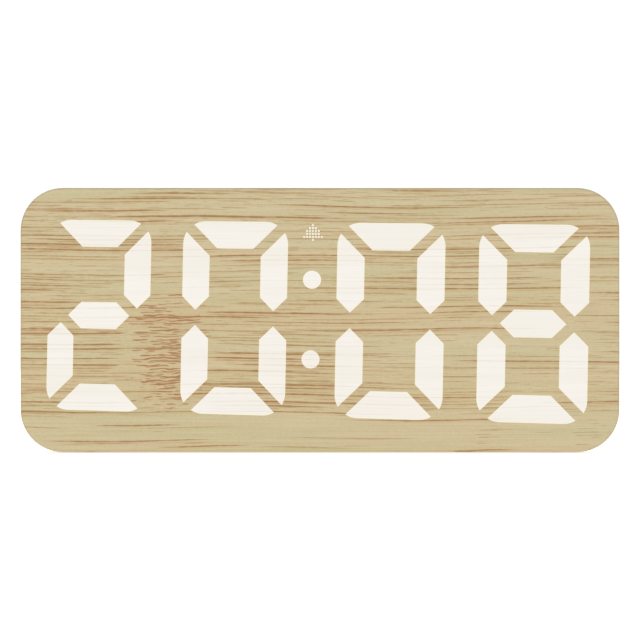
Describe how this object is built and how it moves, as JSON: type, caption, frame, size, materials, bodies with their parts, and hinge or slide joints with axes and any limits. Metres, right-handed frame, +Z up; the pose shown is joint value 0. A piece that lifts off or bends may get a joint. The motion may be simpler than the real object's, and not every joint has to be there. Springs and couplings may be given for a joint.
{
  "type": "alarm clock",
  "caption": "Free-standing bamboo alarm clock: segment digits glow through a thin bamboo face, with a snooze bar, rear keys, an alarm slider, a power inlet and a hinged battery door.",
  "frame": {"origin": "middle of the clock in X and Y, on the surface that it stands on", "axes": "+X to the right and +Z up as seen from the front, +Y from the bamboo face to the back"},
  "size_m": [0.17, 0.038, 0.0753],
  "materials": {
    "bamboo": "fine sanded bamboo with long brown fibres",
    "lit_skin": "thin bamboo skin lit from behind",
    "milky_lens": "milky acrylic",
    "white_plastic": "white moulded",
    "circuit_board": "green solder mask",
    "light_chip": "phosphor on white",
    "black_plastic": "black moulded",
    "steel": "nickel plated",
    "case_plastic": "fine spark-eroded texture",
    "key_plastic": "satin",
    "foot_rubber": "matt",
    "cell_jacket": "printed film jacket",
    "capacitor_sleeve": "shrink sleeve"
  },
  "bodies": {
    "case": {"bamboo_face": "bamboo", "digit_1_segments": "lit_skin", "digit_2_segments": "lit_skin", "digit_3_segments": "lit_skin", "digit_4_segments": "lit_skin", "colon_dots": "lit_skin", "alarm_indicator": "lit_skin", "lens_plate": "milky_lens", "segment_reflector": "white_plastic", "display_board": "circuit_board", "control_board": "circuit_board", "segment_leds": "light_chip", "display_driver": "black_plastic", "snooze_switch": "black_plastic", "button_switches": "black_plastic", "clock_chip": "black_plastic", "link_socket": "black_plastic", "link_pins": "black_plastic", "buzzer": "black_plastic", "usb_tongue": "black_plastic", "display_screws": "steel", "cover_screws": "steel", "board_screws": "steel", "snooze_springs": "steel", "battery_springs": "steel", "battery_contacts": "steel", "usb_shell": "steel", "alarm_switch": "steel", "crystal": "steel", "front_frame": "case_plastic", "rear_cover": "case_plastic", "rubber_feet": "foot_rubber", "battery_cells": "cell_jacket", "capacitors": "capacitor_sleeve"},
    "snooze": {"snooze_bar": "case_plastic", "snooze_plunger": "black_plastic"},
    "set_key": {"set_button": "key_plastic", "set_plunger": "black_plastic"},
    "up_key": {"up_button": "key_plastic", "up_plunger": "black_plastic"},
    "down_key": {"down_button": "key_plastic", "down_plunger": "black_plastic"},
    "light_key": {"light_button": "key_plastic", "light_plunger": "black_plastic"},
    "slider": {"alarm_slider": "key_plastic"},
    "door": {"battery_door": "case_plastic"}
  },
  "joints": [
    {"name": "snooze_press", "type": "slide", "parent": "case", "child": "snooze", "axis": [0, 0, -1], "range_m": [0, 0.001], "stiffness_N_per_m": 800, "springref_m": -0.0005, "deforming": ["snooze_springs"]},
    {"name": "set_press", "type": "slide", "parent": "case", "child": "set_key", "axis": [0, -1, 0], "range_m": [0, 0.0006], "stiffness_N_per_m": 1500, "springref_m": -0.0003},
    {"name": "up_press", "type": "slide", "parent": "case", "child": "up_key", "axis": [0, -1, 0], "range_m": [0, 0.0006], "stiffness_N_per_m": 1500, "springref_m": -0.0003},
    {"name": "down_press", "type": "slide", "parent": "case", "child": "down_key", "axis": [0, -1, 0], "range_m": [0, 0.0006], "stiffness_N_per_m": 1500, "springref_m": -0.0003},
    {"name": "light_press", "type": "slide", "parent": "case", "child": "light_key", "axis": [0, -1, 0], "range_m": [0, 0.0006], "stiffness_N_per_m": 1500, "springref_m": -0.0003},
    {"name": "alarm_slide", "type": "slide", "parent": "case", "child": "slider", "axis": [-1, 0, 0], "range_m": [0, 0.003]},
    {"name": "battery_door_hinge", "type": "hinge", "parent": "case", "child": "door", "pos_m": [-0.04175, 0.017, 0.01825], "axis": [-1, 0, 0], "range_deg": [0, 90]}
  ]
}
